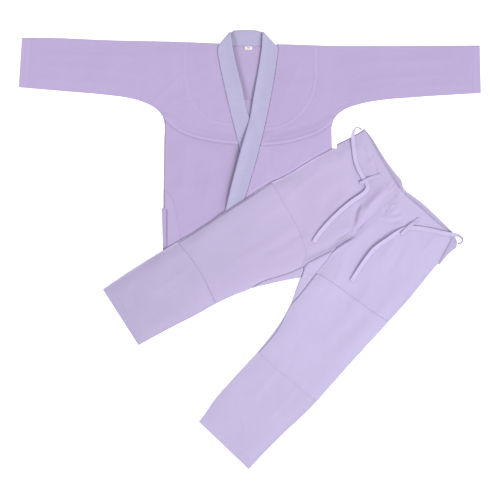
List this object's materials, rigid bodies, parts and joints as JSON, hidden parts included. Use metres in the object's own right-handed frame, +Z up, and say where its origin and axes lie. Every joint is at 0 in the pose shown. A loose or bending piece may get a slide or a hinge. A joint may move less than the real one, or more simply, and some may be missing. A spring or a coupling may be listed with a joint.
{
  "type": "jiu-jitsu gi",
  "caption": "Jiu-jitsu gi laid flat: wrapped jacket with cored lapel and cut-on sleeves, and gusseted drawstring trousers laid across its lower corner.",
  "frame": {"origin": "centre of the bounding box in plan, on the surface that the garment lies on", "axes": "+X runs along the sleeves towards the wearer's left cuff, +Y runs from the jacket's hem to its collar, +Z is up off the surface the set lies on"},
  "size_m": [1.4796, 1.4071, 0.0136],
  "materials": {
    "pearl_weave": "matt pearl weave",
    "lapel_rib": "matt ribbed cover over a core",
    "yoke_twill": "matt",
    "label_white": "smooth white",
    "trouser_twill": "matt twill",
    "tape": "matt flat tape"
  },
  "bodies": {
    "root": {"jacket_body": "pearl_weave", "jacket_front_right": "pearl_weave", "jacket_front_left": "pearl_weave", "jacket_lapel": "lapel_rib", "jacket_yoke_lining": "yoke_twill", "jacket_neck_label": "label_white", "jacket_vent_patch_right": "pearl_weave", "jacket_vent_patch_left": "pearl_weave", "trousers_back_right": "trouser_twill", "trousers_back_left": "trouser_twill", "trousers_front_right": "trouser_twill", "trousers_front_left": "trouser_twill", "trousers_gusset_right": "trouser_twill", "trousers_gusset_left": "trouser_twill", "trousers_knee_patch_right": "trouser_twill", "trousers_knee_patch_left": "trouser_twill", "trousers_loop_right": "tape", "trousers_loop_left": "tape", "trousers_tape_right": "tape", "trousers_tape_left": "tape"}
  },
  "joints": []
}
